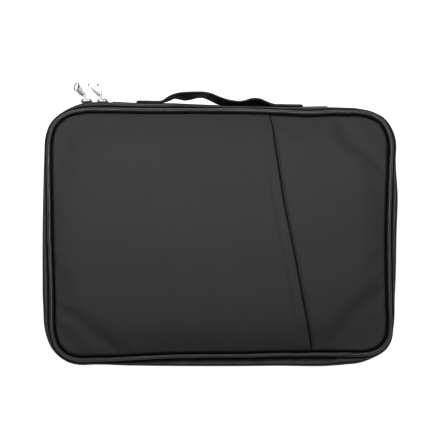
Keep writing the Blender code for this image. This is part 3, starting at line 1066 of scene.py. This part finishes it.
def build_zip_chain():
    """Both halves of the zip, with the coil's rows meshed between the tapes, and its end stops."""
    for half, body, tape_heights, z, phase in (
        ("back", "base", (box_mm("back_zip_tape")[0].z, 19.0, 23.2), 22.9, 0.0),
        ("front", "cover", (24.8, 25.5, 26.2), 25.1, 0.5),
    ):

        def tape(u):
            d = chain_line(u) - TAPE_BEHIND
            return thick_line([(d, height) for height in tape_heights], TAPE_THICK)

        strip = sweep(f"{half}_tape", CHAIN_FIRST, CHAIN_LAST, 2.5, tape, TAPE)
        hand_in(strip, body, "zip_tape", f"{half}_zip_tape")
        coil = build_coil(f"{half}_coil", z, phase)
        hand_in(coil, body, "zip_coil", f"{half}_zip_coil")
    for side in ("left", "right"):
        node = f"zip_end_stop_{side}"
        low, high = box_mm(node)
        middle = (low + high) / 2
        u = nearest_u(middle.x, middle.y)
        x, y = loop_at(u, chain_line(u))
        stop = rounded_box(node + "_clip", high - low + Vector((0.0, 0.4, 0.5)), 0.35, METAL)
        stop.location = Vector((x, y, middle.z)) * MM
        hand_in(stop, "base", "polished_metal", node)


# ---- stitching


STITCH_RADIUS = 0.2
STITCH_SIDES = 6
# The height and width of a stitch's sections along it, in radii.
STITCH_SHAPE = ((-0.5, 0.45), (0.35, 0.95), (0.62, 1.0), (0.35, 0.95), (-0.5, 0.45))


def stitch_row(name, spots, length, pitch):
    """Separate stitches along (point, normal) spots, each sinking in at its ends."""
    path = [point for point, _ in spots]
    walked = lengths_along(path)

    def at(s):
        k = min(max(int(np.searchsorted(walked, s)) - 1, 0), len(path) - 2)
        t = (s - walked[k]) / max(walked[k + 1] - walked[k], 1e-9)
        return path[k].lerp(path[k + 1], t), spots[k][1].lerp(spots[k + 1][1], t).normalized()

    vertices, faces = [], []
    parts = len(STITCH_SHAPE) - 1
    for k in range(int((walked[-1] - length) / pitch) + 1):
        first = len(vertices)
        for part, (height, width) in enumerate(STITCH_SHAPE):
            s = k * pitch + length * part / parts
            here, normal = at(s)
            along = at(s + 0.05)[0] - at(max(s - 0.05, 0.0))[0]
            across = along.normalized().cross(normal).normalized()
            middle = here + normal * STITCH_RADIUS * height
            for side in range(STITCH_SIDES):
                turn = 2 * math.pi * side / STITCH_SIDES
                offset = across * math.cos(turn) + normal * math.sin(turn)
                vertices.append(tuple(middle + offset * STITCH_RADIUS * width))
        for part in range(parts):
            for side in range(STITCH_SIDES):
                a = first + part * STITCH_SIDES + side
                b = first + part * STITCH_SIDES + (side + 1) % STITCH_SIDES
                faces.append((a, b, b + STITCH_SIDES, a + STITCH_SIDES))
        last = first + parts * STITCH_SIDES
        faces.append(tuple(range(first, first + STITCH_SIDES))[::-1])
        faces.append(tuple(range(last, last + STITCH_SIDES)))
    return recalc(new_object(name, vertices, faces, THREAD))


# ---- handle

TOP_MIDDLE = CORNER.y + CORNER_RADIUS - abs(CORNER.x) * math.tan(TOP_FALL)
STRAP_LOW, STRAP_HIGH = (corner.z for corner in box_mm("handle_base_strip"))
STRAP_MIDDLE = 12.5
STRAP_START = box_mm("handle_end_left")[0].x
STRAP_END = box_mm("handle_end_right")[1].x
# The strap is two layers on both sides of a thin gap, cupped a little across its width.
LAYER = 0.95
LAYER_GAP = 0.14
STRAP_CUP = 0.15


def top_point(x, out, z):
    """A point given along the falling top side, outwards from its line and up."""
    return Vector((
        x * math.cos(TOP_FALL) + out * math.sin(TOP_FALL),
        TOP_MIDDLE - x * math.sin(TOP_FALL) + out * math.cos(TOP_FALL),
        z,
    ))


# How far outside the side wall's belly the strap's middle lies where it is sewn down.
SEAT_GAP = 2.3


def seat(x):
    """How far out the strap's middle lies at x where it is sewn down."""
    y = CORNER.y + CORNER_RADIUS - (x - CORNER.x) * math.tan(TOP_FALL)
    return belly(nearest_u(x, y)) + SEAT_GAP


SEAT_LEFT = seat(-70.0)
SEAT_RIGHT = seat(70.0)
# How far out the strap's front and back edges wander between its sewn ends.
front_edge = through((
    (-90, SEAT_LEFT), (-72, SEAT_LEFT), (-64, SEAT_LEFT), (-57, 8.5), (-52, 12.3), (-47, 14.8),
    (-41, 16.6), (-34, 17.5), (-24, 17.8), (-16, 17.7), (-9, 16.5), (-2, 13.7), (5, 11.3), (13, 9.6),
    (20, 9.1), (25, 10.0), (30, 11.8), (34.5, 12.5), (40, 12.0), (47, 9.0), (54, 6.5), (62, SEAT_RIGHT),
    (70, SEAT_RIGHT), (90, SEAT_RIGHT),
))
back_lean = through((
    (-90, SEAT_LEFT), (-72, SEAT_LEFT), (-64, SEAT_LEFT), (-56, 8.0), (-51, 9.6), (-46, 11.8),
    (-41, 11.0), (-36, 10.0), (-30, 10.8), (-23, 12.8), (-17, 13.0), (-10, 10.2), (-3, 7.0), (5, 5.6),
    (20, 5.5), (27, 5.7), (34, 5.9), (41, 5.9), (48, 5.9), (56, SEAT_RIGHT), (70, SEAT_RIGHT),
    (90, SEAT_RIGHT),
))


def strap_frame(x):
    """Back and front edge points of the strap and the direction out of its outer face."""
    back = top_point(x, back_lean(x), STRAP_LOW)
    front = top_point(x, front_edge(x), STRAP_HIGH)
    ahead = top_point(x + 0.4, (front_edge(x + 0.4) + back_lean(x + 0.4)) / 2, 0)
    behind = top_point(x - 0.4, (front_edge(x - 0.4) + back_lean(x - 0.4)) / 2, 0)
    along = (ahead - behind).normalized()
    normal = (front - back).cross(along).normalized()
    if normal.y < 0:
        normal = -normal
    return back, front, normal


def cup(share):
    """How far the strap bulges at a share of its width."""
    return STRAP_CUP * (1 - (2 * share - 1) ** 2)


def strap_spot(x, share):
    """A point on the strap's outer face, at a share of its width, and the direction out of it."""
    back, front, normal = strap_frame(x)
    return back.lerp(front, share) + normal * (LAYER_GAP + LAYER + cup(share)), normal


def strap_ring(x, low, high, trim):
    """A section across the strap between two offsets along its normal."""
    back, front, normal = strap_frame(x)
    half = (high - low) / 2
    middle = (high + low) / 2
    shape = []
    for share in (trim, trim + 0.03, 0.1, 0.3, 0.5, 0.7, 0.9, 0.97 - trim, 1.0 - trim):
        edge = 0.35 if share in (trim, 1.0 - trim) else 1.0
        shape.append((share, middle + cup(share), half * edge))
    ring = [back.lerp(front, share) + normal * (centre + h) for share, centre, h in shape]
    ring += [back.lerp(front, share) + normal * (centre - h) for share, centre, h in shape[::-1]]
    return [tuple(point) for point in ring]


def strap_layer(name, low, high, trim, material):
    count = int((STRAP_END - STRAP_START) / 1.1)
    xs = [STRAP_START + (STRAP_END - STRAP_START) * k / count for k in range(count + 1)]
    rings = [strap_ring(x, low, high, trim) for x in xs]
    return loft(name, rings, material, False, lengths_along([ring[0] for ring in rings]))


def build_base_strip():
    """The webbing sewn flat on the side wall under the strap."""
    low, high = box_mm("handle_base_strip")
    length = high.x - low.x
    count = int(length / 2)
    rings = []
    for k in range(count + 1):
        x = -length / 2 + length * k / count
        out = seat(x) - 1.65
        section = thick_line([(out, STRAP_LOW), (out + 0.05, STRAP_MIDDLE), (out, STRAP_HIGH)], 0.85)
        rings.append([tuple(top_point(x, d, z)) for d, z in section])
    strip = loft("handle_base_webbing", rings, STRAP, False, [2.0 * k for k in range(count + 1)])
    hand_in(strip, "base", "webbing", "handle_base_strip")


def build_handle():
    """A doubled webbing strap, sewn down at both ends over the base strip and loose between them."""
    pieces = [
        strap_layer("strap_outer", LAYER_GAP, LAYER_GAP + LAYER, 0.0, STRAP),
        strap_layer("strap_inner", -LAYER_GAP - LAYER, -LAYER_GAP, 0.0, STRAP),
        strap_layer("strap_seam", -0.26, 0.26, 0.004, SEAM),
    ]
    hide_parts("handle_loop", "handle_end_left", "handle_end_right")
    for name, share in (("back", 0.12), ("front", 0.88)):
        count = int(STRAP_END - STRAP_START) - 2
        spots = [strap_spot(STRAP_START + 1.5 + k, share) for k in range(count)]
        pieces.append(stitch_row(f"strap_stitches_{name}", spots, 2.0, 2.8))
    for piece in pieces:
        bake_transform(piece)


def build_end_stitches():
    """A stitched rectangle with a cross in it on each sewn end of the strap."""
    low, high = STRAP_LOW + 3.2, STRAP_HIGH - 3.2
    for side, first, last in (("left", STRAP_START + 2.5, -64.0), ("right", 60.0, STRAP_END - 2.5)):
        corners = [(first, low), (last, low), (last, high), (first, high), (first, low), (last, high)]
        legs = list(zip(corners, corners[1:])) + [((first, high), (last, low))]
        for number, ((xa, za), (xb, zb)) in enumerate(legs):
            spots = []
            for k in range(12):
                z = za + (zb - za) * k / 11
                share = (z - STRAP_LOW) / (STRAP_HIGH - STRAP_LOW)
                spots.append(strap_spot(xa + (xb - xa) * k / 11, share))
            hand_in(stitch_row(f"sewn_end_{side}_{number}", spots, 1.7, 2.4), "base", "webbing")


# ---- sliders and pulls

# Heights on the slider: the crown's feet, and its top, where the ring hangs.
CROWN_FOOT = 6.9
CROWN_TOP = 9.6
RING_LEAN = 30.0
RING_NEAR = -2.15
RING_FAR = 3.4
RING_HALF_WIDTH = 1.9
RING_WIRE = 0.45


def slider_frame(side):
    """The slider's own axes at rest: X along the chain, Y outwards from the loop, Z up."""
    flap = joint(f"{side}_ring_flap")
    along = Vector(flap["axis"]).normalized()
    turn = math.atan2(along.y, along.x)
    place = Matrix.Translation(Vector(flap["pos_m"])) @ Matrix.Rotation(turn, 4, "Z")
    return place @ Matrix.Translation((0.0, -CROWN_TOP * MM, 0.0))


def add_line(data, points, closed):
    """Adds a line of (x, y, z) points in millimetres to a curve."""
    line = data.splines.new("POLY")
    line.points.add(len(points) - 1)
    for slot, point in zip(line.points, points):
        slot.co = (*(Vector(point) * MM), 1.0)
    line.use_cyclic_u = closed
    return line


def flat_outline(name, outline, thickness, bevel, material, hole=()):
    """A flat plate with rounded edges from an outline in its own XY plane."""
    data = bpy.data.curves.new(name, "CURVE")
    data.dimensions = "2D"
    data.fill_mode = "BOTH"
    data.extrude = (thickness / 2 - bevel) * MM
    data.bevel_depth = bevel * MM
    data.bevel_resolution = 3
    data.offset = -bevel * MM
    for points in (outline, hole):
        if points:
            add_line(data, [(x, y, 0.0) for x, y in points], True)
    return as_mesh(name, data, material)


def as_mesh(name, data, material):
    """The curve's mesh as an object of its own, with its seams closed."""
    curve = placed(name + "_curve", data)
    bpy.context.view_layer.update()
    graph = bpy.context.evaluated_depsgraph_get()
    mesh = bpy.data.meshes.new_from_object(curve.evaluated_get(graph))
    bpy.data.objects.remove(curve)
    mesh.name = name
    work = bmesh.new()
    work.from_mesh(mesh)
    bmesh.ops.remove_doubles(work, verts=work.verts, dist=1e-6)
    bmesh.ops.recalc_face_normals(work, faces=work.faces)
    work.to_mesh(mesh)
    work.free()
    mesh.shade_smooth()
    mesh.set_sharp_from_angle(angle=math.radians(40))
    mesh.materials.clear()
    mesh.materials.append(material)
    return placed(name, mesh)


def arc(center, radius, first, last, steps):
    points = []
    for step in range(steps + 1):
        angle = math.radians(first + (last - first) * step / steps)
        points.append((center[0] + radius * math.cos(angle), center[1] + radius * math.sin(angle)))
    return points


def tube(name, points, radii, closed):
    """A round metal tube through points in millimetres with a radius at each, as a mesh."""
    data = bpy.data.curves.new(name, "CURVE")
    data.dimensions = "3D"
    data.bevel_depth = MM
    data.bevel_resolution = 4
    data.use_fill_caps = not closed
    line = add_line(data, points, closed)
    for slot, radius in zip(line.points, radii):
        slot.radius = radius
    return as_mesh(name, data, METAL)


def plate_outline(half_length, half_width):
    """A slider plate: round shoulders, drawn in to a waist at its tail."""
    points = arc((half_length - half_width * 0.75, 0.0), half_width * 0.98, -62, 62, 14)
    tail = half_width * 0.85
    points += arc((-half_length + tail * 0.6, tail * 0.45), tail * 0.55, 90, 180, 6)
    points += arc((-half_length + tail * 0.6, -tail * 0.45), tail * 0.55, 180, 270, 6)
    return points


def build_slider(side):
    """The cast slider: outer and inner plates, the post between the rows, a back lip and the crown."""
    place = slider_frame(side)
    upright = Matrix.Rotation(math.radians(-90), 4, "X")

    def plate(name, half_length, half_width, low, high, bevel):
        piece = flat_outline(name, plate_outline(half_length, half_width), high - low, bevel, ENAMEL)
        piece.matrix_world = place @ Matrix.Translation((0, (low + high) / 2 * MM, 0)) @ upright
        return piece

    outer = plate(f"{side}_slider_plate", 5.5, 3.5, 5.95, 7.05, 0.32)
    inner = plate(f"{side}_slider_inner", 4.6, 1.45, 0.6, 1.4, 0.25)
    post = rounded_box(f"{side}_slider_post", Vector((2.6, 5.4, 0.6)), 0.15, ENAMEL)
    post.matrix_world = place @ Matrix.Translation((2.3 * MM, 3.7 * MM, 0))
    lip = rounded_box(f"{side}_slider_lip", Vector((8.6, 1.3, 0.6)), 0.2, ENAMEL)
    lip.matrix_world = place @ Matrix.Translation((-0.2 * MM, 5.85 * MM, -3.2 * MM))
    arch = []
    for x, y in arc((0.0, 0.0), 1.0, 186, -6, 26):
        across = 4.5 * math.copysign(abs(x) ** 0.8, x)
        arch.append((across, CROWN_FOOT + (CROWN_TOP - CROWN_FOOT) * y, 0.0))
    radii = [0.85 + 0.55 * abs(2 * k / (len(arch) - 1) - 1) ** 2 for k in range(len(arch))]
    crown = tube(f"{side}_slider_crown", arch, radii, False)
    crown.matrix_world = place @ Matrix.Diagonal((1.0, 1.0, 1.35, 1.0))
    hand_in(outer, f"{side}_slider", "polished_metal", f"{side}_slider_body")
    for piece in (inner, post, lip, crown):
        hand_in(piece, f"{side}_slider", "polished_metal")


def build_link_ring(side):
    place = slider_frame(side) @ Matrix.Translation((0.0, CROWN_TOP * MM, 0.0))
    middle, reach = (RING_FAR + RING_NEAR) / 2, (RING_FAR - RING_NEAR) / 2
    wire = [(0.0, middle + reach * a, RING_HALF_WIDTH * b) for a, b in arc((0, 0), 1.0, 0, 352.5, 47)]
    ring = tube(f"{side}_ring_wire", wire, [RING_WIRE] * len(wire), True)
    ring.matrix_world = place @ Matrix.Rotation(math.radians(RING_LEAN), 4, "Z")
    hand_in(ring, f"{side}_ring", "polished_metal", f"{side}_link_ring")


def oval(center, half_length, half_width, slant):
    """An ellipse with its long axis turned by slant degrees."""
    turn = math.radians(slant)
    points = []
    for a, b in arc((0.0, 0.0), 1.0, 0, 360 - 360 / OVAL_STEPS, OVAL_STEPS - 1):
        x, y = half_length * a, half_width * b
        points.append((
            center[0] + x * math.cos(turn) - y * math.sin(turn),
            center[1] + x * math.sin(turn) + y * math.cos(turn),
            0.0,
        ))
    return points


# How each tab hangs: its side's sign, its tilt and extra lean in degrees, and its stretch.
TABS = {"left": (1.0, 13.0, 0.0, 1.0, 1.0), "right": (-1.0, 9.0, 5.0, 1.2, 1.12)}
# The tab's outline, from its heel round the pin's eye to the slanted end that its loop is set in.
HEEL_RADIUS = 1.75
BLADE = (
    (2.1, 0.6), (2.6, 2.2), (3.0, 6.0), (3.4, 9.5), (3.7, 12.6), (2.1, 12.6), (-0.2, 10.9), (-2.4, 8.6),
    (-3.4, 7.2), (-3.2, 5.0), (-2.7, 2.2), (-2.1, 0.6),

)
EYE_RADIUS = 0.85
TAB_THICK = 1.3
TAB_BEVEL = 0.42
# The loop: how far its middle is from the eye, its half length and width, its slant and its wire.
LOOP_REACH = 11.9
LOOP_HALVES = (4.25, 2.05)
LOOP_SLANT = 33.0
LOOP_WIRE = 0.78
OVAL_STEPS = 56


def build_tab(side):
    """A flat tab with a thick slanted loop at its tip. The right one hangs the other way up."""
    flip, tilt, lean, wide, tall = TABS[side]
    corners = [Vector(v.co) for v in frame["nodes"][f"{side}_pull_tab"].data.vertices]
    eye = Vector(joint(f"{side}_tab_swing")["pos_m"])
    reach = max((corner - eye).length for corner in corners)
    farthest = [corner for corner in corners if (corner - eye).length > reach - 0.0006]
    tip = sum(farthest, Vector()) / len(farthest)
    turn = math.atan2(-(tip.x - eye.x), tip.y - eye.y) + math.radians(lean)
    outline = [(flip * x, y) for x, y in arc((0.0, 0.0), HEEL_RADIUS, 215, 325, 10)]
    for x, y in BLADE:
        outline.append((flip * x * (wide if y > 1 else 1), y * (tall if y > 1 else 1)))
    eye_hole = arc((0.0, 0.0), EYE_RADIUS, 0, 345, 23)
    tab = flat_outline(f"{side}_tab_plate", outline, TAB_THICK, TAB_BEVEL, TAB_METAL, eye_hole)
    length, width = LOOP_HALVES
    line = oval((flip * -0.1, LOOP_REACH * tall), length * wide, width, flip * LOOP_SLANT)
    loop = tube(f"{side}_tab_loop", line, [LOOP_WIRE] * len(line), True)
    place = Matrix.Translation(eye) @ Matrix.Rotation(math.radians(tilt), 4, "X")
    for piece in (tab, loop):
        piece.matrix_world = place @ Matrix.Rotation(turn, 4, "Z")
    hand_in(tab, f"{side}_tab", "polished_metal", f"{side}_pull_tab")
    hand_in(loop, f"{side}_tab", "polished_metal")


# ---- stage

FLOOR_GLOW = 1.0
WORLD_GLOW = 0.05
# In metres: the camera's place over the case, and how wide the picture is at the cover's height.
CAMERA_HEIGHT = 5.0
CAMERA_MIDDLE = (-0.0065, 0.019)
FRAME_WIDTH = 0.427


def white_floor():
    finish = Finish("white_sweep", 0.9)
    speck = finish.noise(120.0, 2.0)
    finish.color(finish.between(speck, grey(0.80), grey(0.82)))
    finish.shader.inputs["Emission Color"].default_value = (1.0, 1.0, 1.0, 1.0)
    finish.shader.inputs["Emission Strength"].default_value = FLOOR_GLOW
    bpy.ops.mesh.primitive_plane_add(size=12.0, location=(0.0, 0.0, -0.0006))
    floor = bpy.context.object
    floor.name = "white_floor"
    floor.data.materials.append(finish.material)
    floor.visible_diffuse = False


def add_light(name, place, target, size, power, spread=180):
    data = bpy.data.lights.new(name, "AREA")
    data.shape = "RECTANGLE"
    data.size, data.size_y = size
    data.energy = power
    data.spread = math.radians(spread)
    lamp = placed(name, data)
    lamp.location = place
    aim = Vector(target) - Vector(place)
    lamp.rotation_euler = aim.to_track_quat("-Z", "Y").to_euler()


def build_stage():
    white_floor()
    add_light("top_strip", (-0.3, 1.0, 0.28), (-0.1, 0.1, 0.03), (1.2, 0.2), 3.0)
    add_light("gridded_overhead", (-0.25, 0.08, 1.5), (-0.25, 0.08, 0.0), (1.2, 0.12), 0.6, 30)
    add_light("ceiling_bounce", (-0.2, 0.45, 1.5), (-0.2, 0.45, 0.0), (1.2, 0.8), 0.9)
    world = bpy.data.worlds.new("studio")
    world.use_nodes = True
    world.node_tree.nodes["Background"].inputs["Color"].default_value = (1.0, 1.0, 1.0, 1.0)
    world.node_tree.nodes["Background"].inputs["Strength"].default_value = WORLD_GLOW
    bpy.context.scene.world = world
    bpy.context.scene.view_settings.view_transform = "Standard"
    lens = bpy.data.cameras.new("camera")
    lens.lens = lens.sensor_width * (CAMERA_HEIGHT - FACE_Z * MM) / FRAME_WIDTH
    camera = placed("camera", lens)
    camera.location = (*CAMERA_MIDDLE, CAMERA_HEIGHT)
    bpy.context.scene.camera = camera


build_pocket(build_front_panel())
build_back_face()
build_padding()
build_piping()
build_gussets()
build_zip_chain()
build_base_strip()
build_handle()
build_end_stitches()
for side in ("left", "right"):
    build_slider(side)
    build_link_ring(side)
    build_tab(side)
build_stage()
